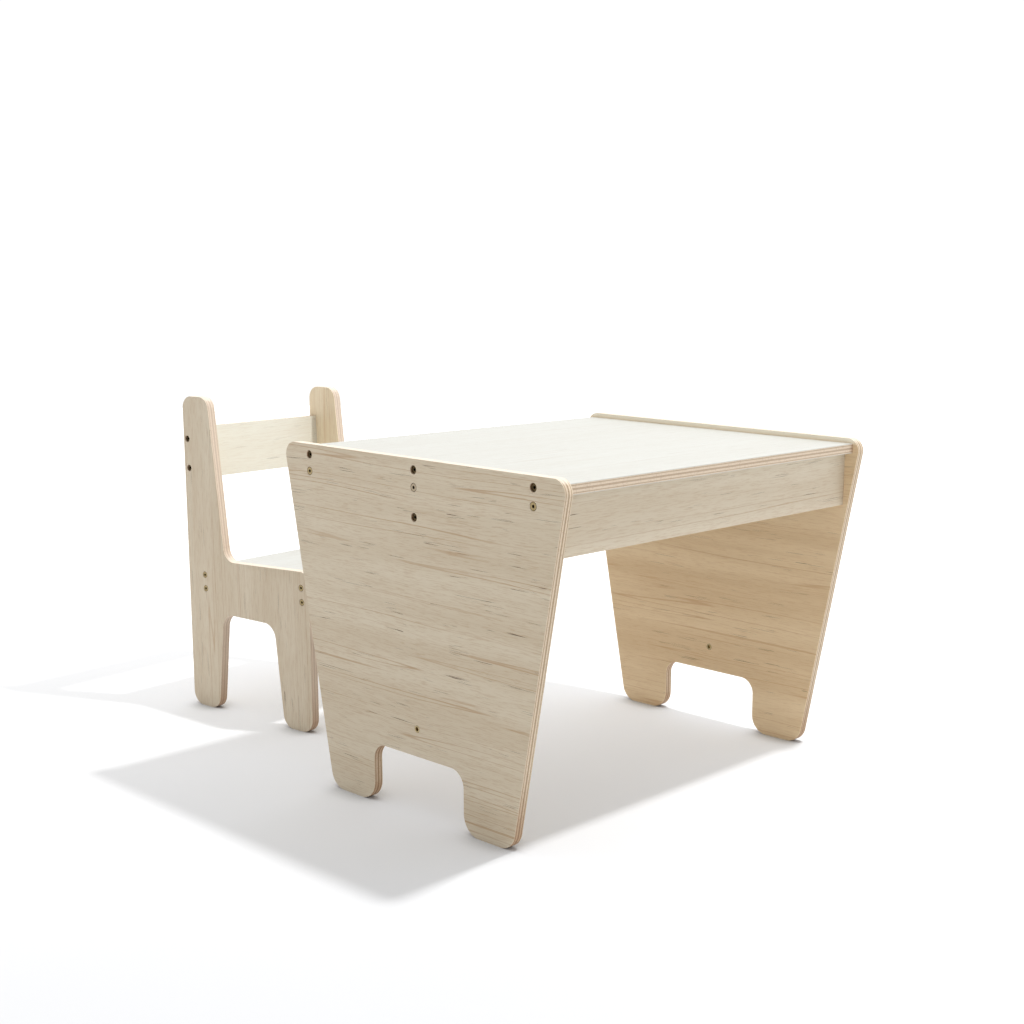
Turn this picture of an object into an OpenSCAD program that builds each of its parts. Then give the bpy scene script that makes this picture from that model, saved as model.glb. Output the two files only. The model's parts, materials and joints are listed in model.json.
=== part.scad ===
// Kids table and chair in birch plywood.
// Every board is one flat panel, screwed together through the side panels.
// X runs along the table, +Y goes from the table to the chair, Z is up and the floor is Z = 0.
// The origin is the middle of the whole set's footprint.

/* [Boards] */
// Thickness of every plywood board
ply = 15; // [12:1:18]
// Side of the square rails under the tabletop and the seat
rail = 34; // [26:1:40]

/* [Table] */
// Overall length over both side panels
table_length = 680; // [500:10:900]
// Height of the side panels
table_height = 520; // [480:10:620]
// Width of a side panel along its top edge
side_top_width = 590; // [580:10:700]
// Width of a side panel on the floor
side_foot_width = 388; // [340:4:480]
// How far the side panels stand above the tabletop
table_lip = 8; // [2:1:14]
// Width of the tabletop, from its front edge to its back edge
top_width = 560; // [520:5:580]
// Depth of the aprons and of the centre rail, below the tabletop
apron_depth = 84; // [72:1:110]
// How far an apron's face is behind the tabletop's edge
apron_setback = 14; // [2:1:24]
// Width of the cut-out between a side panel's feet
cutout_width = 194; // [150:2:220]
// Height of that cut-out
cutout_height = 91; // [70:1:120]
// Height of the threaded sleeve in each side panel
sleeve_height = 132; // [125:1:200]

/* [Chair] */
// Overall width over both side panels
chair_width = 306; // [260:2:360]
// Depth of the side panels, front to back
chair_depth = 309; // [280:1:340]
// Height of the back posts
chair_height = 552; // [520:2:620]
// Width of a back post at its top
post_top_width = 65; // [56:1:80]
// Width of a back post where it meets the seat line
post_base_width = 97; // [85:1:110]
// Width of each foot on the floor
leg_foot_width = 69; // [60:1:80]
// Width of each leg at the top of the leg opening
leg_top_width = 89; // [84:1:100]
// Height of the leg opening
leg_opening_height = 176; // [140:1:180]
// Height of the side's top edge at the chair's back
seat_line_height = 266; // [260:1:300]
// How far the side panels stand above the seat
seat_lip = 20; // [2:1:22]
// Slope of the seat, and lean of the backrest, in degrees
seat_tilt = 2.2; // [0:0.1:4]
// Height of the backrest board
backrest_height = 90; // [80:1:110]
// Height of the backrest's middle above the floor
backrest_middle = 452; // [430:1:470]

/* [Chair position] */
// Chair's middle along X, from the table's middle
chair_x = -65; // [-150:5:150]
// Chair's middle along Y, from the table's middle
chair_y = 597; // [500:1:800]
// Turn of the chair about the vertical, in degrees
chair_turn = 5.25; // [-10:0.25:10]

/* [Fasteners] */
// Diameter of a table screw's head
table_head_d = 11; // [10:0.5:12]
// Diameter of a chair screw's head
chair_head_d = 10; // [9:0.5:11]
// Diameter of a screw's shank
shank_d = 5; // [4:0.5:6]
// Bore of the threaded sleeves
sleeve_bore_d = 6; // [5:0.5:8]

/* [Hidden] */
$fn = 64;

// Corner radii
side_top_r = 20;
foot_outer_r = 28;
foot_inner_r = 30;
cutout_r = 25;
post_r = 22;
post_fillet_r = 25;
seat_corner_r = 20;
leg_opening_r = 27;
chair_foot_r = 24;
// Each arc is this much larger, so that it crosses the two edges it rounds and never just touches them
arc_overlap = 0.004;

// Table levels and lines, measured from the table's middle
table_inside = table_length - 2 * ply;
top_level = table_height - table_lip;
top_underside = top_level - ply;
apron_face_y = top_width / 2 - apron_setback;
rail_front_y = apron_face_y - ply;
rail_middle_y = rail_front_y - rail / 2;

// Screw heights on the table's side panels
top_screw_z = top_level - ply / 2;
rail_screw_z = top_underside - rail / 2;
centre_lower_screw_z = top_underside - 59;
apron_screw_x = table_inside * 0.34;

// Seat layout, in distances from the chair's back edge along the seat's slope
chair_inside = chair_width - 2 * ply;
seat_back_gap = 8;
seat_front_gap = 2;
seat_depth = chair_depth - seat_back_gap - seat_front_gap;
rear_rail_middle = 42;
front_rail_middle = chair_depth - seat_front_gap - rail / 2;
backrest_gap = 2.8;
backrest_screw_pitch = 51;

// Screws: a head with a hexagonal socket, and a plain shank with a short point
head_h = 4;
head_gap = 0.8;
shank_gap = 0.1;
socket_d = 5;
socket_depth = 3;
point_h = 6;
deep_recess = 2.5;
flush_recess = 0.3;
table_screw_length = 50;
chair_screw_length = 45;
apron_screw_length = rail + ply - 4;
sleeve_outer_d = 10.5;
cut = 0.1;

// A table side panel's corners, [across, up, radius], before they are rounded
side_outline = [
    [-side_foot_width / 2, 0, foot_outer_r],
    [-cutout_width / 2, 0, foot_inner_r],
    [-cutout_width / 2, cutout_height, cutout_r],
    [cutout_width / 2, cutout_height, cutout_r],
    [cutout_width / 2, 0, foot_inner_r],
    [side_foot_width / 2, 0, foot_outer_r],
    [side_top_width / 2, table_height, side_top_r],
    [-side_top_width / 2, table_height, side_top_r]
];
back_top_corner = 6;

// Where the table and the chair stand, with the set's footprint centred on the origin
set_front_y = -(arc_centre(side_outline, back_top_corner)[0] + side_top_r);
set_back_y = chair_y + chair_depth / 2 * cos(chair_turn) + chair_width / 2 * abs(sin(chair_turn));
table_y = -(set_front_y + set_back_y) / 2;

// ---- Outlines with rounded corners ----
// An outline is a list of corners, each [across, up, radius], that go round anticlockwise.
function spot(p, i) = [p[i][0], p[i][1]];
function unit(v) = v / norm(v);
function to_last(p, i) = unit(spot(p, (i + len(p) - 1) % len(p)) - spot(p, i));
function to_next(p, i) = unit(spot(p, (i + 1) % len(p)) - spot(p, i));
function half_angle(p, i) = acos(to_last(p, i) * to_next(p, i)) / 2;
function reach(p, i) = p[i][2] / tan(half_angle(p, i));
function arc_centre(p, i) =
    spot(p, i) + unit(to_last(p, i) + to_next(p, i)) * p[i][2] / sin(half_angle(p, i));
function is_outer(p, i) = cross(to_next(p, i), to_last(p, i)) > 0;
function arc_ends(p, i) =
    [spot(p, i) + to_last(p, i) * reach(p, i), spot(p, i) + to_next(p, i) * reach(p, i)];

module corner_circles(p, outer) {
    for (i = [0 : len(p) - 1])
        if (is_outer(p, i) == outer)
            translate(arc_centre(p, i)) circle(r = p[i][2] + arc_overlap);
}

module rounded_outline(p) {
    difference() {
        union() {
            polygon([for (i = [0 : len(p) - 1]) each arc_ends(p, i)]);
            corner_circles(p, true);
        }
        corner_circles(p, false);
    }
}

// A board standing across X, from x = 0 to x = ply, whose outline is drawn in Y and Z
module upright_board(p) {
    rotate([90, 0, 90]) linear_extrude(ply) rounded_outline(p);
}

// ---- Placing ----
module at_table() {
    translate([0, table_y, 0]) children();
}

module at_chair() {
    translate([chair_x, table_y + chair_y, 0]) rotate([0, 0, chair_turn]) children();
}

// The seat's own frame: z = 0 on the seat, y = 0 at the chair's back, -y towards its front
module on_seat() {
    translate([0, chair_depth / 2, seat_line_height - seat_lip]) rotate([-seat_tilt, 0, 0]) children();
}

// The backrest's own frame, with its origin in the middle of the board
module on_backrest() {
    translate([0, chair_depth / 2 - backrest_gap - ply / 2, backrest_middle])
        rotate([-seat_tilt, 0, 0]) children();
}

module both_ends() {
    children();
    mirror([1, 0, 0]) children();
}

module at_spots(spots) {
    for (s = spots) translate([0, s[0], s[1]]) children();
}

// ---- Fasteners ----
// A screw goes in along +X, from a board's face at x = 0. Recess is how deep its head sits.
module screw(head_d, recess, length) {
    translate([recess, 0, 0]) rotate([0, 90, 0])
        difference() {
            union() {
                cylinder(d = head_d, h = head_h);
                cylinder(d = shank_d, h = length - point_h);
                translate([0, 0, length - point_h]) cylinder(d1 = shank_d, d2 = 1, h = point_h);
            }
            translate([0, 0, -cut]) cylinder(d = socket_d, h = socket_depth + cut, $fn = 6);
        }
}

module screw_hole(head_d, recess, length) {
    rotate([0, 90, 0]) {
        translate([0, 0, -cut]) cylinder(d = head_d + 2 * head_gap, h = recess + head_h + cut);
        translate([0, 0, -cut]) cylinder(d = shank_d + 2 * shank_gap, h = recess + length + 2 * cut);
    }
}

top_screw_spots = [for (y = [-rail_middle_y, 0, rail_middle_y]) [y, top_screw_z]];
rail_screw_spots = [for (y = [-rail_middle_y, rail_middle_y]) [y, rail_screw_z]];
centre_upper_spots = [[0, rail_screw_z]];
centre_lower_spots = [[0, centre_lower_screw_z]];

module table_screws(spots, recess) {
    at_table() both_ends()
        translate([-table_length / 2, 0, 0]) at_spots(spots)
            screw(table_head_d, recess, table_screw_length);
}

module table_screw_holes(spots, recess) {
    both_ends()
        translate([-table_length / 2, 0, 0]) at_spots(spots)
            screw_hole(table_head_d, recess, table_screw_length);
}

module all_table_screw_holes() {
    table_screw_holes(top_screw_spots, deep_recess);
    table_screw_holes(rail_screw_spots, flush_recess);
    table_screw_holes(centre_upper_spots, flush_recess);
    table_screw_holes(centre_lower_spots, deep_recess);
}

// ---- Table boards ----
module table_side() {
    difference() {
        translate([-table_length / 2, 0, 0]) upright_board(side_outline);
        all_table_screw_holes();
        translate([-table_length / 2 - cut, 0, sleeve_height]) rotate([0, 90, 0])
            cylinder(d = sleeve_outer_d + 2 * shank_gap, h = ply + 2 * cut);
    }
}

module table_left_side() {
    color("burlywood") at_table() table_side();
}

module table_right_side() {
    color("burlywood") at_table() mirror([1, 0, 0]) table_side();
}

module tabletop() {
    color("wheat") at_table() difference() {
        translate([-table_inside / 2, -top_width / 2, top_underside])
            cube([table_inside, top_width, ply]);
        table_screw_holes(top_screw_spots, deep_recess);
    }
}

// Screws through the front square rail into the front apron
module apron_screw_row() {
    for (x = [-apron_screw_x, 0, apron_screw_x])
        translate([x, -rail_front_y + rail, rail_screw_z]) rotate([0, 0, -90]) children();
}

module apron_row_holes() {
    apron_screw_row() screw_hole(chair_head_d, flush_recess, apron_screw_length);
}

module front_apron_board() {
    difference() {
        translate([-table_inside / 2, -apron_face_y, top_underside - apron_depth])
            cube([table_inside, ply, apron_depth]);
        apron_row_holes();
    }
}

module front_rail_bar() {
    difference() {
        translate([-table_inside / 2, -rail_front_y, top_underside - rail])
            cube([table_inside, rail, rail]);
        apron_row_holes();
        table_screw_holes(rail_screw_spots, flush_recess);
    }
}

module front_apron() {
    color("tan") at_table() front_apron_board();
}

module back_apron() {
    color("tan") at_table() mirror([0, 1, 0]) front_apron_board();
}

module front_rail() {
    color("peru") at_table() front_rail_bar();
}

module back_rail() {
    color("peru") at_table() mirror([0, 1, 0]) front_rail_bar();
}

module centre_rail() {
    color("peru") at_table() difference() {
        translate([-table_inside / 2, -ply / 2, top_underside - apron_depth])
            cube([table_inside, ply, apron_depth]);
        table_screw_holes(centre_upper_spots, flush_recess);
        table_screw_holes(centre_lower_spots, deep_recess);
    }
}

// ---- Table fasteners ----
module tabletop_screws() {
    color("dimgray") table_screws(top_screw_spots, deep_recess);
}

module table_rail_screws() {
    color("gold") table_screws(rail_screw_spots, flush_recess);
}

module centre_rail_upper_screws() {
    color("khaki") table_screws(centre_upper_spots, flush_recess);
}

module centre_rail_lower_screws() {
    color("dimgray") table_screws(centre_lower_spots, deep_recess);
}

module apron_screws() {
    color("silver") at_table() {
        apron_screw_row() screw(chair_head_d, flush_recess, apron_screw_length);
        mirror([0, 1, 0]) apron_screw_row() screw(chair_head_d, flush_recess, apron_screw_length);
    }
}

module threaded_sleeves() {
    color("gold") at_table() both_ends()
        translate([-table_length / 2, 0, sleeve_height]) rotate([0, 90, 0]) difference() {
            cylinder(d = sleeve_outer_d, h = ply);
            translate([0, 0, -cut]) cylinder(d = sleeve_bore_d, h = ply + 2 * cut);
        }
}

// ---- Chair boards ----
chair_back_y = chair_depth / 2;
function seat_line(from_back) = seat_line_height + from_back * tan(seat_tilt);

chair_side_outline = [
    [-chair_back_y, 0, chair_foot_r],
    [leg_foot_width - chair_back_y, 0, chair_foot_r],
    [leg_top_width - chair_back_y, leg_opening_height, leg_opening_r],
    [chair_back_y - leg_top_width, leg_opening_height, leg_opening_r],
    [chair_back_y - leg_foot_width, 0, chair_foot_r],
    [chair_back_y, 0, chair_foot_r],
    [chair_back_y, chair_height, post_r],
    [chair_back_y - post_top_width, chair_height, post_r],
    [chair_back_y - post_base_width, seat_line(post_base_width), post_fillet_r],
    [-chair_back_y, seat_line(chair_depth), seat_corner_r]
];

rail_rows = [-front_rail_middle, -rear_rail_middle];
seat_screw_spots = [for (y = rail_rows) [y, -ply / 2]];
seat_rail_screw_spots = [for (y = rail_rows) [y, -ply - rail / 2]];
backrest_screw_spots = [for (z = [-1, 1]) [0, z * backrest_screw_pitch / 2]];

module chair_screws(spots, recess) {
    both_ends() translate([-chair_width / 2, 0, 0]) at_spots(spots)
        screw(chair_head_d, recess, chair_screw_length);
}

module chair_screw_holes(spots, recess) {
    both_ends() translate([-chair_width / 2, 0, 0]) at_spots(spots)
        screw_hole(chair_head_d, recess, chair_screw_length);
}

module chair_side() {
    difference() {
        translate([-chair_width / 2, 0, 0]) upright_board(chair_side_outline);
        on_seat() {
            chair_screw_holes(seat_screw_spots, flush_recess);
            chair_screw_holes(seat_rail_screw_spots, flush_recess);
        }
        on_backrest() chair_screw_holes(backrest_screw_spots, deep_recess);
    }
}

module chair_left_side() {
    color("burlywood") at_chair() chair_side();
}

module chair_right_side() {
    color("burlywood") at_chair() mirror([1, 0, 0]) chair_side();
}

module seat() {
    color("wheat") at_chair() on_seat() difference() {
        translate([-chair_inside / 2, -seat_back_gap - seat_depth, -ply])
            cube([chair_inside, seat_depth, ply]);
        chair_screw_holes(seat_screw_spots, flush_recess);
    }
}

module backrest() {
    color("wheat") at_chair() on_backrest() difference() {
        cube([chair_inside, ply, backrest_height], center = true);
        chair_screw_holes(backrest_screw_spots, deep_recess);
    }
}

module seat_rail(middle) {
    color("peru") at_chair() on_seat() difference() {
        translate([-chair_inside / 2, -middle - rail / 2, -ply - rail])
            cube([chair_inside, rail, rail]);
        chair_screw_holes(seat_rail_screw_spots, flush_recess);
    }
}

module seat_front_rail() {
    seat_rail(front_rail_middle);
}

module seat_rear_rail() {
    seat_rail(rear_rail_middle);
}

// ---- Chair fasteners ----
module backrest_screws() {
    color("dimgray") at_chair() on_backrest() chair_screws(backrest_screw_spots, deep_recess);
}

module seat_screws() {
    color("gold") at_chair() on_seat() chair_screws(seat_screw_spots, flush_recess);
}

module seat_rail_screws() {
    color("gold") at_chair() on_seat() chair_screws(seat_rail_screw_spots, flush_recess);
}

table_left_side();
table_right_side();
tabletop();
front_apron();
back_apron();
front_rail();
back_rail();
centre_rail();
tabletop_screws();
table_rail_screws();
centre_rail_upper_screws();
centre_rail_lower_screws();
apron_screws();
threaded_sleeves();
chair_left_side();
chair_right_side();
seat();
backrest();
seat_front_rail();
seat_rear_rail();
backrest_screws();
seat_screws();
seat_rail_screws();
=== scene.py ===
"""Looks for the birch plywood table and chair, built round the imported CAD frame. Everything is in metres."""

import json
import math

import bpy
from mathutils import Matrix, Vector


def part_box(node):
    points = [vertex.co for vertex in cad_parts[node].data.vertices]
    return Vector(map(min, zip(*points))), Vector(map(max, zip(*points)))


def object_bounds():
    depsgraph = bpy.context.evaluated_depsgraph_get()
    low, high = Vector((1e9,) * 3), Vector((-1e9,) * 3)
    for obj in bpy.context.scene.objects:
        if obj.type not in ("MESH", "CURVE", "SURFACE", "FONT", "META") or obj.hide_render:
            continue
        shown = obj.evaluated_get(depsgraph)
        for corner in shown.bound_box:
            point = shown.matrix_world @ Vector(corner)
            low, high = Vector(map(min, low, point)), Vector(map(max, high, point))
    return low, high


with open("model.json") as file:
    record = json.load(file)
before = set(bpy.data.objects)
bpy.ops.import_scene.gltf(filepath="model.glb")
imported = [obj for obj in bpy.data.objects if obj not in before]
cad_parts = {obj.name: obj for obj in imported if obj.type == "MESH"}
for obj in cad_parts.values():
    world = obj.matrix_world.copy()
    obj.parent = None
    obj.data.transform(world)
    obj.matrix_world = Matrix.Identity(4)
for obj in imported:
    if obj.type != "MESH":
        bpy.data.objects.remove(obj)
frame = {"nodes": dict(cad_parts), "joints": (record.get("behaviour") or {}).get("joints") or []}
cad_low, cad_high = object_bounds()
nodes = frame["nodes"]

PLY = 0.015
SEAT_TILT = math.radians(2.2)
slide_axis = frame["joints"][0]["axis"]
CHAIR_TURN = math.atan2(slide_axis[0], -slide_axis[1])

X, Y, Z = 0, 1, 2
UPRIGHT = (0.0, 0.0, 0.0)
TURNED = (0.0, 0.0, CHAIR_TURN)
TURNED_AND_TILTED = (-SEAT_TILT, 0.0, CHAIR_TURN)
WHITE = (1.0, 1.0, 1.0, 1.0)


# ---- Material tools ----
class Graph:
    """A material's node tree, with short ways to add and link nodes."""

    def __init__(self, name):
        self.material = bpy.data.materials.new(name)
        self.material.use_nodes = True
        self.tree = self.material.node_tree
        self.tree.nodes.clear()

    def feed(self, socket, value):
        if isinstance(value, bpy.types.NodeSocket):
            self.tree.links.new(value, socket)
        else:
            socket.default_value = value

    def add(self, kind, inputs=None, **settings):
        node = self.tree.nodes.new("ShaderNode" + kind)
        for key, value in settings.items():
            setattr(node, key, value)
        for key, value in (inputs or {}).items():
            self.feed(node.inputs[key], value)
        return node

    def math(self, operation, *values):
        return self.add("Math", dict(enumerate(values)), operation=operation).outputs[0]

    def product(self, *values):
        return self.math("MULTIPLY", *values)

    def about_zero(self, noise):
        """A noise, which runs from 0 to 1, moved to run from -0.5 to 0.5."""
        return self.math("SUBTRACT", noise, 0.5)

    def vector_math(self, operation, a, b):
        return self.add("VectorMath", {0: a, 1: b}, operation=operation).outputs[0]

    def place(self):
        return self.add("TexCoord").outputs["Object"]

    def component(self, vector, axis):
        return self.add("SeparateXYZ", {"Vector": vector}).outputs[axis]

    def combine(self, x, y, z):
        return self.add("CombineXYZ", {"X": x, "Y": y, "Z": z}).outputs[0]

    def noise(self, vector, stretch=None, scale=1.0, detail=2.0, roughness=0.5):
        if stretch is not None:
            vector = self.vector_math("MULTIPLY", vector, stretch)
        inputs = {"Vector": vector, "Scale": scale, "Detail": detail, "Roughness": roughness}
        return self.add("TexNoise", inputs).outputs["Fac"]

    def smooth(self, value, span, out=(0.0, 1.0)):
        """A soft step that goes through the values of out as value goes through span."""
        keys = ("Value", "From Min", "From Max", "To Min", "To Max")
        inputs = dict(zip(keys, (value, *span, *out)))
        return self.add("MapRange", inputs, interpolation_type="SMOOTHSTEP").outputs["Result"]

    def mix(self, factor, a, b, blend="MIX"):
        made = self.add("Mix", data_type="RGBA", blend_type=blend)
        for socket, value in ((made.inputs[0], factor), (made.inputs[6], a), (made.inputs[7], b)):
            self.feed(socket, value)
        return made.outputs[2]

    def ramp(self, value, stops):
        made = self.add("ValToRGB", {"Fac": value})
        points = made.color_ramp.elements
        while len(points) < len(stops):
            points.new(1.0)
        for point, (position, colour) in zip(points, stops):
            point.position = position
            point.color = colour
        return made.outputs["Color"]

    def open_air(self, reach):
        """1 in the open, and less where something stands within reach."""
        return self.add("AmbientOcclusion", {"Distance": reach}, samples=8).outputs["AO"]

    def surface(self, bump=None, bump_distance=None, **sockets):
        shader = self.add("BsdfPrincipled", {key.replace("_", " "): value for key, value in sockets.items()})
        if bump is not None:
            made = self.add("Bump", {"Height": bump, "Strength": 1.0, "Distance": bump_distance})
            self.feed(shader.inputs["Normal"], made.outputs[0])
        self.feed(self.add("OutputMaterial").inputs["Surface"], shader.outputs[0])
        return self.material


def tone(r, g, b, gain=1.0):
    return (r * gain, g * gain, b * gain, 1.0)


def middle(node):
    low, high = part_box(node)
    return tuple((low + high) / 2)


# Each seed reads the noises this much further along the grain and across it
SEED_STEPS = (3.7, 1.9)


def board_space(graph, centre, turn, order, seed):
    """Coordinates along the grain, across it and through the board, from the board's middle."""
    mapping = {"Vector": graph.place(), "Location": centre, "Rotation": turn}
    local = graph.add("Mapping", mapping, vector_type="TEXTURE").outputs[0]
    parts = graph.add("SeparateXYZ", {"Vector": local}).outputs
    along, across, through = (parts[axis] for axis in order)
    shift_along, shift_across = (seed * step for step in SEED_STEPS)
    shifted = graph.combine(
        graph.math("ADD", along, shift_along), graph.math("ADD", across, shift_across), through
    )
    return shifted, through


# ---- Birch plywood ----
FACE_PALE = (0.70, 0.61, 0.47)
FACE_WARM = (0.58, 0.47, 0.33)
LINE_BROWN = (0.42, 0.245, 0.115)
PORE_BROWN = (0.10, 0.052, 0.022)
GLUE_BROWN = (0.30, 0.185, 0.10)
CORE_PALE = (0.73, 0.605, 0.455)
CORE_PINK = (0.57, 0.435, 0.295)
WORN_PALE = (0.80, 0.70, 0.55)
PAINTED_BOUNCE_PALE = (0.93, 0.86, 0.71)
EDGE_PAINTED_LIGHT = (0.90, 0.83, 0.72)
EDGE_PAINTED_SHADE = (0.62, 0.48, 0.38)
EDGE_BLUSH = (0.655, 0.55, 0.465)

# The veneer's noises, each with its stretch along the grain, across it and through the board
BEND = {"stretch": (2.6, 7.0, 20.0), "detail": 1.0}
VENEER = {
    "cloud": {"stretch": (1.3, 22.0, 20.0), "detail": 3.0, "roughness": 0.6},
    "fibre": {"stretch": (45.0, 850.0, 60.0), "detail": 2.0, "roughness": 0.65},
    "band": {"stretch": (0.9, 120.0, 20.0), "detail": 4.0, "roughness": 0.65},
    "band_place": {"stretch": (3.5, 16.0, 20.0), "detail": 1.0},
    "level": {"stretch": (0.6, 44.0, 20.0), "detail": 1.0, "roughness": 0.4},
    "growth_place": {"stretch": (2.2, 26.0, 24.0), "detail": 1.0},
    "pore": {"stretch": (17.0, 1500.0, 20.0), "detail": 0.0},
    "pore_place": {"stretch": (14.0, 120.0, 20.0), "detail": 0.0},
}
# The noise values between which each feature comes in
CLOUD_SPAN, FIBRE_SPAN = (0.30, 0.70), (0.46, 0.70)
BAND_SPAN, BAND_PLACE_SPAN = (0.53, 0.72), (0.35, 0.62)
GROWTH_SPAN, GROWTH_PLACE_SPAN = (0.0, 0.055), (0.38, 0.56)
PORE_SPAN, PORE_PLACE_SPAN = (0.69, 0.73), (0.64, 0.68)
# How far each feature takes the colour to its own
FIBRE_SHARE, BAND_SHARE, GROWTH_SHARE, PORE_SHARE = 0.34, 0.12, 0.62, 0.95
BEND_REACH, GROWTH_LINES, LEAST_WARM, MOST_WARM = 0.012, 4.0, 0.2, 1.8
# Where the painted bounce light above the tabletop comes in about a height, and how far it goes
BOUNCE_SPAN, BOUNCE_SHARE = (-0.004, 0.006), 0.95

# The edges: wavering of the layers, pores in the end grain, painted light on up-facing edges and painted shade
# on enclosed ones, rubbed arrises
WAVER, WAVER_REACH = {"stretch": (22.0, 22.0, 140.0), "detail": 2.0}, 0.05
END_PORES = {"stretch": (420.0, 420.0, 420.0), "detail": 2.0}
END_PORE_SPAN, END_PORE_SHARE = (0.5, 0.72), 0.30
UP_SPAN, TOP_LIGHT_SHARE = (0.55, 0.95), 0.65
EDGE_SHADE_REACH, EDGE_SHADE_SPAN, EDGE_SHADE_SHARE = 0.16, (0.45, 0.90), 0.85
RUB, RUB_SPAN = {"stretch": (60.0, 60.0, 60.0), "detail": 3.0, "roughness": 0.6}, (0.42, 0.62)
RUB_SHARES = (0.10, 0.55)
# Distances from the board's middle plane: where the veneer begins, and where inner turns to outer
FACE_SPAN, OUTER_SPAN = (PLY * 0.445, PLY * 0.46), (-PLY * 0.1, PLY * 0.1)

BOARD_SHEEN, BOARD_ROUGH_SPAN, BOARD_ROUGHNESS, EDGE_ROUGHER = 0.32, (0.2, 0.8), (0.40, 0.54), 0.18
BOARD_BUMP, FIBRE_RELIEF, PORE_RELIEF, BAND_RELIEF = 0.00025, 0.35, 0.12, 0.25

# The far side panel is painted paler above the tabletop, for the light the tabletop throws back onto it
BOUNCE_LIT_ABOVE = {"table_right_side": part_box("tabletop")[1].z}
# How far the stripes on a board's edges are sanded to one pinkish tone
BLUSH = {"chair_left_side": 0.55, "chair_right_side": 0.60, "tabletop": 0.22}
# The right-hand panels' tints paint extra light onto their inner faces, which stand in shade (warm bounce light
# off the wood on the table's far panel); their outer faces are multiplied back cooler and less bright
OUTER_FACE = {"table_right_side": (0.80, 0.88, 1.02), "chair_right_side": (0.76, 0.77, 0.81)}


def edge_stripes(graph, space, through, blush):
    """Pale long-grain layers between darker cross layers and thin glue lines."""
    waver = graph.product(graph.about_zero(graph.noise(space, **WAVER)), WAVER_REACH)
    depth = graph.math("ADD", graph.math("ADD", graph.math("DIVIDE", through, PLY), 0.5), waver)
    glue, core, pink = tone(*GLUE_BROWN), tone(*CORE_PALE), tone(*CORE_PINK)
    stripes = graph.ramp(depth, [
        (0.00, core), (0.11, core), (0.15, glue), (0.20, pink), (0.25, core), (0.40, core), (0.45, glue),
        (0.50, pink), (0.56, glue), (0.60, core), (0.74, core), (0.80, pink), (0.85, glue), (0.89, core),
    ])
    pores = graph.smooth(graph.noise(space, **END_PORES), END_PORE_SPAN)
    stripes = graph.mix(graph.product(pores, END_PORE_SHARE), stripes, glue)
    stripes = graph.mix(blush, stripes, tone(*EDGE_BLUSH))

    # Edges that face up get painted light, and edges inside the leg openings get painted shade
    facing_up = graph.component(graph.add("NewGeometry").outputs["Normal"], Z)
    painted_top_light = graph.smooth(facing_up, UP_SPAN, (0.0, TOP_LIGHT_SHARE))
    stripes = graph.mix(painted_top_light, stripes, tone(*EDGE_PAINTED_LIGHT))
    enclosed = graph.smooth(graph.open_air(EDGE_SHADE_REACH), EDGE_SHADE_SPAN, (EDGE_SHADE_SHARE, 0.0))
    return graph.mix(enclosed, stripes, graph.mix(1.0, stripes, tone(*EDGE_PAINTED_SHADE), "MULTIPLY"))


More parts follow.
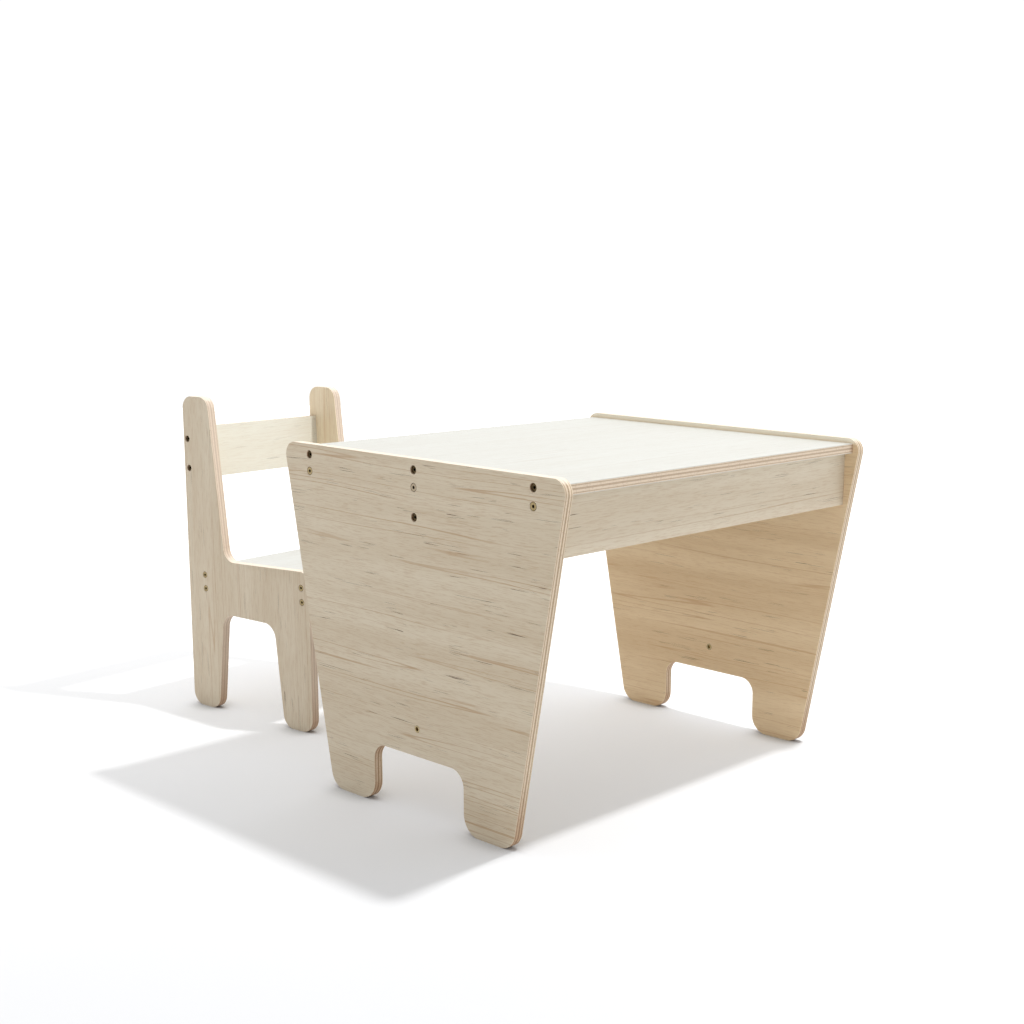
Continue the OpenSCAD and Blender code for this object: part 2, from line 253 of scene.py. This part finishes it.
def plywood(name, node, board, worn):
    """Birch plywood: figured veneer on both faces, stripes on the edges. The worn one is for the arrises."""
    turn, order, seed, tint, figure, warmth = board
    graph = Graph(name)
    space, through = board_space(graph, middle(node), turn, order, seed)

    def shade(colour):
        return tuple(c * t for c, t in zip(colour, tint)) + (1.0,)

    # Slow bends that every grain line follows
    bend = graph.product(graph.about_zero(graph.noise(space, **BEND)), BEND_REACH)
    wavy = graph.vector_math("ADD", space, graph.combine(0.0, bend, 0.0))
    noise = {key: graph.noise(wavy, **settings) for key, settings in VENEER.items()}

    fibre = graph.smooth(noise["fibre"], FIBRE_SPAN)
    band = graph.product(
        graph.smooth(noise["band"], BAND_SPAN), graph.smooth(noise["band_place"], BAND_PLACE_SPAN)
    )
    # Growth lines are the level lines of a long soft noise, thin and unbroken
    phase = graph.math("FRACT", graph.product(noise["level"], GROWTH_LINES))
    off_line = graph.math("ABSOLUTE", graph.about_zero(phase))
    growth = graph.product(
        graph.smooth(off_line, GROWTH_SPAN, (1.0, 0.0)),
        graph.smooth(noise["growth_place"], GROWTH_PLACE_SPAN),
    )
    pore = graph.product(
        graph.smooth(noise["pore"], PORE_SPAN), graph.smooth(noise["pore_place"], PORE_PLACE_SPAN)
    )

    warm = graph.smooth(noise["cloud"], CLOUD_SPAN, (warmth * LEAST_WARM, min(1.0, warmth * MOST_WARM)))
    colour = graph.mix(warm, shade(FACE_PALE), shade(FACE_WARM))
    for feature, share, darker in (
        (fibre, FIBRE_SHARE, LINE_BROWN), (band, BAND_SHARE, LINE_BROWN),
        (growth, GROWTH_SHARE, LINE_BROWN), (pore, PORE_SHARE, PORE_BROWN),
    ):
        colour = graph.mix(graph.product(feature, share * figure), colour, shade(darker))
    # Painted bounce light: the colour turns paler above the tabletop's height
    if node in BOUNCE_LIT_ABOVE:
        above = graph.math("SUBTRACT", graph.component(graph.place(), Z), BOUNCE_LIT_ABOVE[node])
        colour = graph.mix(graph.smooth(above, BOUNCE_SPAN, (0.0, BOUNCE_SHARE)), colour, tone(*PAINTED_BOUNCE_PALE))
    # Painted light: the inner face keeps its brighter tint, and the outer face is turned back
    if node in OUTER_FACE:
        cooler = graph.mix(1.0, colour, tone(*OUTER_FACE[node]), "MULTIPLY")
        colour = graph.mix(graph.smooth(through, OUTER_SPAN), colour, cooler)

    on_face = graph.smooth(graph.math("ABSOLUTE", through), FACE_SPAN)
    colour = graph.mix(on_face, edge_stripes(graph, space, through, BLUSH.get(node, 0.0)), colour)
    if worn:
        rub = graph.smooth(graph.noise(space, **RUB), RUB_SPAN, RUB_SHARES)
        colour = graph.mix(rub, colour, shade(WORN_PALE))

    on_edge = graph.math("SUBTRACT", 1.0, on_face)
    rough = graph.smooth(noise["fibre"], BOARD_ROUGH_SPAN, BOARD_ROUGHNESS)
    rough = graph.math("ADD", rough, graph.product(on_edge, EDGE_ROUGHER))
    relief = graph.product(noise["fibre"], FIBRE_RELIEF)
    for hollow, depth in ((pore, PORE_RELIEF), (band, BAND_RELIEF)):
        relief = graph.math("SUBTRACT", relief, graph.product(hollow, depth))
    return graph.surface(
        bump=relief, bump_distance=BOARD_BUMP,
        Base_Color=colour, Roughness=rough, Specular_IOR_Level=BOARD_SHEEN,
    )


# ---- Pine and metals ----
PINE_PALE, PINE_DARK, PINE_FIBRE = (0.66, 0.50, 0.32), (0.46, 0.29, 0.15), (0.34, 0.21, 0.11)
PINE_BEND, PINE_BEND_REACH = {"stretch": (2.5, 14.0, 14.0), "detail": 1.0}, 0.02
PINE_RINGS, RING_SPAN = {"stretch": (1.2, 150.0, 150.0), "detail": 3.0, "roughness": 0.55}, (0.40, 0.66)
PINE_FIBRES, PINE_FIBRE_SHARE = {"stretch": (16.0, 700.0, 700.0), "detail": 2.0}, 0.25
PINE_ROUGH_SPAN, PINE_ROUGHNESS, PINE_BUMP = (0.2, 0.8), (0.50, 0.66), 0.0003


def softwood(name, node, turn, seed):
    """Planed pine: wide soft bands and fine fibres along the grain."""
    graph = Graph(name)
    space, _ = board_space(graph, middle(node), turn, (X, Y, Z), seed)
    bend = graph.product(graph.about_zero(graph.noise(space, **PINE_BEND)), PINE_BEND_REACH)
    wavy = graph.vector_math("ADD", space, graph.combine(0.0, bend, bend))
    fibre = graph.noise(wavy, **PINE_FIBRES)
    rings = graph.smooth(graph.noise(wavy, **PINE_RINGS), RING_SPAN)
    colour = graph.mix(rings, tone(*PINE_PALE), tone(*PINE_DARK))
    colour = graph.mix(graph.product(fibre, PINE_FIBRE_SHARE), colour, tone(*PINE_FIBRE))
    rough = graph.smooth(fibre, PINE_ROUGH_SPAN, PINE_ROUGHNESS)
    return graph.surface(bump=fibre, bump_distance=PINE_BUMP, Base_Color=colour, Roughness=rough)


RECESS_DIRT_SHADE, RECESS_REACH, RECESS_SPAN, RECESS_SHARE = (0.012, 0.008, 0.005), 0.003, (0.35, 0.80), 0.90
SCUFF, SCUFF_SPAN, METAL_BUMP = {"scale": 900.0, "detail": 4.0, "roughness": 0.65}, (0.52, 0.75), 0.00005
STAIN, STAIN_SPAN, STAIN_SHARE, STAIN_GAIN = {"scale": 162.0}, (0.45, 0.75), 0.45, 0.55
METAL_ROUGH_SPAN, SMOOTHER, ROUGHER = (0.25, 0.8), 0.08, 0.14


def metal(name, base, worn, metallic, roughness):
    """A satin metal finish with fine scuffs that show the metal under it, and dirt with painted shade in its
    recesses.
    """
    graph = Graph(name)
    scuff = graph.noise(graph.place(), **SCUFF)
    stain = graph.smooth(graph.noise(graph.place(), **STAIN), STAIN_SPAN, (0.0, STAIN_SHARE))
    colour = graph.mix(graph.smooth(scuff, SCUFF_SPAN), tone(*base), tone(*worn))
    colour = graph.mix(stain, colour, tone(*base, STAIN_GAIN))
    # Dirt and painted shade darken the sockets and the gaps round the heads
    dirt_and_shade = graph.smooth(graph.open_air(RECESS_REACH), RECESS_SPAN, (RECESS_SHARE, 0.0))
    colour = graph.mix(dirt_and_shade, colour, tone(*RECESS_DIRT_SHADE))
    rough = graph.smooth(scuff, METAL_ROUGH_SPAN, (roughness - SMOOTHER, roughness + ROUGHER))
    return graph.surface(
        bump=scuff, bump_distance=METAL_BUMP, Base_Color=colour, Roughness=rough, Metallic=metallic
    )


# ---- Dressing the CAD nodes ----
WELD_DISTANCE, ARRIS_ANGLE = 0.000005, math.radians(40)
# How wide the eased arrises are, and in how many segments
BOARD_EASING, RAIL_EASING, SCREW_EASING, SLEEVE_EASING = (0.0008, 3), (0.0012, 3), (0.0005, 2), (0.0002, 2)


def dress(node, material, arris_material):
    slots = nodes[node].data.materials
    slots.clear()
    slots.append(material)
    slots.append(arris_material)


def ease_edges(node, width, segments):
    """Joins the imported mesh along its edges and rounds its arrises, which take the node's second material."""
    weld = nodes[node].modifiers.new("join", "WELD")
    weld.merge_threshold = WELD_DISTANCE
    bevel = nodes[node].modifiers.new("eased", "BEVEL")
    bevel.width = width
    bevel.segments = segments
    bevel.limit_method = "ANGLE"
    bevel.angle_limit = ARRIS_ANGLE
    bevel.harden_normals = True
    bevel.miter_outer = "MITER_ARC"
    bevel.material = 1


# node: (turn, local axes along the grain, across it and through the board, seed, tint, figure, warmth)
BOARDS = {
    "table_left_side": (UPRIGHT, (Y, Z, X), 1, (0.965, 0.970, 0.965), 1.0, 0.35),
    # Its warm, bright tint paints bounce light onto the inner face
    "table_right_side": (UPRIGHT, (Y, Z, X), 2, (1.22, 1.11, 0.95), 0.75, 0.45),
    "tabletop": (UPRIGHT, (X, Y, Z), 3, (0.81, 0.93, 1.12), 0.25, 0.10),
    "front_apron": (UPRIGHT, (X, Z, Y), 4, (0.96, 0.97, 0.98), 0.9, 0.30),
    "back_apron": (UPRIGHT, (X, Z, Y), 5, (0.96, 0.97, 0.98), 0.9, 0.30),
    "centre_rail": (UPRIGHT, (X, Z, Y), 6, (1.0, 1.0, 1.0), 0.9, 0.35),
    "chair_left_side": (TURNED, (Z, Y, X), 7, (0.985, 0.995, 1.005), 0.9, 0.35),
    # Its bright tint paints extra light onto the inner face, which stands in shade
    "chair_right_side": (TURNED, (Z, Y, X), 8, (1.31, 1.31, 1.26), 0.65, 0.35),
    "seat": (TURNED_AND_TILTED, (X, Y, Z), 9, (0.86, 1.01, 1.26), 0.25, 0.12),
    "backrest": (TURNED_AND_TILTED, (X, Z, Y), 10, (1.08, 1.21, 1.38), 0.45, 0.20),
}
for node, board in BOARDS.items():
    dress(node, plywood("ply_" + node, node, board, False), plywood("rubbed_" + node, node, board, True))
    ease_edges(node, *BOARD_EASING)

RAILS = {
    "front_rail": (UPRIGHT, 11),
    "back_rail": (UPRIGHT, 12),
    "seat_front_rail": (TURNED_AND_TILTED, 13),
    "seat_rear_rail": (TURNED_AND_TILTED, 14),
}
for node, (turn, seed) in RAILS.items():
    pine = softwood("pine_" + node, node, turn, seed)
    dress(node, pine, pine)
    ease_edges(node, *RAIL_EASING)

brass = metal("brass", (0.34, 0.26, 0.13), (0.50, 0.40, 0.23), 1.0, 0.34)
# The rim materials go on the heads' eased rims, darker than their faces: painted shade for the gap round each
# head
brass_shaded_rim = metal("brass_shaded_rim", (0.020, 0.013, 0.007), (0.07, 0.048, 0.025), 0.6, 0.60)
bright_brass = metal("bright_brass", (0.52, 0.41, 0.22), (0.66, 0.55, 0.34), 1.0, 0.34)
black = metal("black_steel", (0.095, 0.066, 0.030), (0.24, 0.18, 0.095), 1.0, 0.36)
black_shaded_rim = metal("black_shaded_rim", (0.035, 0.026, 0.016), (0.11, 0.08, 0.05), 0.9, 0.45)
zinc = metal("zinc_steel", (0.37, 0.30, 0.21), (0.47, 0.39, 0.29), 1.0, 0.36)
zinc_shaded_rim = metal("zinc_shaded_rim", (0.18, 0.155, 0.125), (0.30, 0.27, 0.23), 0.9, 0.45)
METALS = {
    "table_rail_screws": (brass, brass_shaded_rim),
    "seat_screws": (brass, brass_shaded_rim),
    "seat_rail_screws": (brass, brass_shaded_rim),
    "threaded_sleeves": (bright_brass, brass_shaded_rim),
    "tabletop_screws": (black, black_shaded_rim),
    "centre_rail_lower_screws": (black, black_shaded_rim),
    "backrest_screws": (black, black_shaded_rim),
    "centre_rail_upper_screws": (zinc, zinc_shaded_rim),
    "apron_screws": (zinc, zinc_shaded_rim),
}
for node, (face, rim) in METALS.items():
    dress(node, face, rim)
    ease_edges(node, *(SLEEVE_EASING if node == "threaded_sleeves" else SCREW_EASING))

# ---- The stage: a pale floor, a white room, one soft lamp ----
table_low, table_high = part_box("table_left_side")
# The middle of the near panel's outer face, at floor level: lamp, camera and floor glow are placed from it
near_panel = Vector((table_low.x, (table_low.y + table_high.y) / 2, cad_low.z))

FLOOR_RADIUS, FLOOR_SIDES, FLOOR_TONE = 6.0, 96, (0.634, 0.640, 0.652)
FLOOR_GRAIN, GRAIN_SPAN, GRAIN_SHARE, GRAIN_GAIN = {"scale": 260.0, "detail": 3.0}, (0.3, 0.7), 0.05, 0.92
FLOOR_GLOW, GLOW_SLOPE, GLOW_REACH = 0.225, (0.16, 0.13, 0.0), 0.18
FAR_FLOOR, FAR_GLOW = (1.0, 2.2), 0.35
CONTACT_REACH, CONTACT_SPAN = 0.05, (0.45, 0.95)


def floor():
    """A round matt floor that glows a little, less where something stands on it and more far away."""
    graph = Graph("floor")
    place = graph.place()
    grain = graph.smooth(graph.noise(place, **FLOOR_GRAIN), GRAIN_SPAN, (0.0, GRAIN_SHARE))
    shade = graph.mix(grain, tone(*FLOOR_TONE), tone(*FLOOR_TONE, GRAIN_GAIN))
    from_panel = graph.vector_math("SUBTRACT", place, near_panel)
    inputs = {0: from_panel, 1: GLOW_SLOPE}
    across = graph.add("VectorMath", inputs, operation="DOT_PRODUCT").outputs["Value"]
    distance = graph.add("VectorMath", {0: from_panel}, operation="LENGTH").outputs["Value"]
    glow_span = (FLOOR_GLOW - GLOW_REACH, FLOOR_GLOW + GLOW_REACH)
    near_glow = graph.smooth(across, (-GLOW_REACH, GLOW_REACH), glow_span)
    glow = graph.math("ADD", near_glow, graph.smooth(distance, FAR_FLOOR, (0.0, FAR_GLOW)))
    glow = graph.product(glow, graph.smooth(graph.open_air(CONTACT_REACH), CONTACT_SPAN))
    material = graph.surface(
        Base_Color=shade, Roughness=0.9, Emission_Color=WHITE, Emission_Strength=glow, Specular_IOR_Level=0.0
    )
    angles = (2 * math.pi * i / FLOOR_SIDES for i in range(FLOOR_SIDES))
    rim = [(FLOOR_RADIUS * math.cos(a), FLOOR_RADIUS * math.sin(a), near_panel.z) for a in angles]
    mesh = bpy.data.meshes.new("floor")
    mesh.from_pydata(rim, [], [list(range(FLOOR_SIDES))])
    mesh.materials.append(material)
    made = bpy.data.objects.new("floor", mesh)
    bpy.context.scene.collection.objects.link(made)


floor()

# The room's light grows towards its bright side, and the camera sees it plain white
WORLD_SEEN, WORLD_LIGHT = 1.05, 0.92
BRIGHT_SIDE, BRIGHT_SHARE = (0.8, 0.6, 0.0), 0.55
world = bpy.data.worlds.new("studio")
world.use_nodes = True
tree = world.node_tree
tree.nodes.clear()
rays = tree.nodes.new("ShaderNodeLightPath")
light = tree.nodes.new("ShaderNodeBackground")
towards = tree.nodes.new("ShaderNodeVectorMath")
towards.operation = "DOT_PRODUCT"
towards.inputs[1].default_value = tuple(c * BRIGHT_SHARE * WORLD_LIGHT for c in BRIGHT_SIDE)
total = tree.nodes.new("ShaderNodeMath")
total.inputs[1].default_value = WORLD_LIGHT
tree.links.new(tree.nodes.new("ShaderNodeTexCoord").outputs["Generated"], towards.inputs[0])
tree.links.new(towards.outputs["Value"], total.inputs[0])
tree.links.new(total.outputs[0], light.inputs[1])
seen = tree.nodes.new("ShaderNodeBackground")
seen.inputs[1].default_value = WORLD_SEEN
for background in (light, seen):
    background.inputs[0].default_value = WHITE
choice = tree.nodes.new("ShaderNodeMixShader")
tree.links.new(rays.outputs["Is Camera Ray"], choice.inputs[0])
tree.links.new(light.outputs[0], choice.inputs[1])
tree.links.new(seen.outputs[0], choice.inputs[2])
tree.links.new(choice.outputs[0], tree.nodes.new("ShaderNodeOutputWorld").inputs[0])
bpy.context.scene.world = world

LAMP_FROM_PANEL = Vector((0.851, -0.619, 2.462))
LAMP_RADIUS, LAMP_STRENGTH = 0.075, 26.0
lamp = bpy.data.lights.new("lamp", "POINT")
lamp.energy = 1.0
lamp.shadow_soft_size = LAMP_RADIUS
lamp.use_nodes = True
emission = lamp.node_tree.nodes["Emission"]
falloff = lamp.node_tree.nodes.new("ShaderNodeLightFalloff")
falloff.inputs["Strength"].default_value = LAMP_STRENGTH
lamp.node_tree.links.new(falloff.outputs["Constant"], emission.inputs["Strength"])
lamp_object = bpy.data.objects.new("lamp", lamp)
lamp_object.location = near_panel + LAMP_FROM_PANEL
bpy.context.scene.collection.objects.link(lamp_object)

# ---- The camera ----
CAMERA_FROM_PANEL = Vector((-1.3822, -1.6219, 0.7918))
AZIMUTH, ELEVATION, ROLL = math.radians(-48.627), math.radians(10.888), math.radians(0.7036)
IMAGE_SIDE, FOCAL_PIXELS, CENTRE = 1024, 1540.67, (632.08, 556.81)

back = Vector((
    math.sin(AZIMUTH) * math.cos(ELEVATION), -math.cos(AZIMUTH) * math.cos(ELEVATION), math.sin(ELEVATION)
))
right = (-back).cross(Vector((0, 0, 1))).normalized()
up = right.cross(-back)
tilted_right = right * math.cos(ROLL) + up * math.sin(ROLL)
tilted_up = up * math.cos(ROLL) - right * math.sin(ROLL)

camera = bpy.data.cameras.new("camera")
camera.sensor_width = 36.0
camera.lens = FOCAL_PIXELS / IMAGE_SIDE * camera.sensor_width
camera.shift_x = (IMAGE_SIDE / 2 - CENTRE[0]) / IMAGE_SIDE
camera.shift_y = (CENTRE[1] - IMAGE_SIDE / 2) / IMAGE_SIDE
camera_object = bpy.data.objects.new("camera", camera)
facing = Matrix((tilted_right, tilted_up, back)).transposed().to_4x4()
camera_object.matrix_world = Matrix.Translation(near_panel + CAMERA_FROM_PANEL) @ facing
bpy.context.scene.collection.objects.link(camera_object)
bpy.context.scene.camera = camera_object

bpy.context.scene.view_settings.view_transform = "Standard"
bpy.context.scene.view_settings.look = "None"
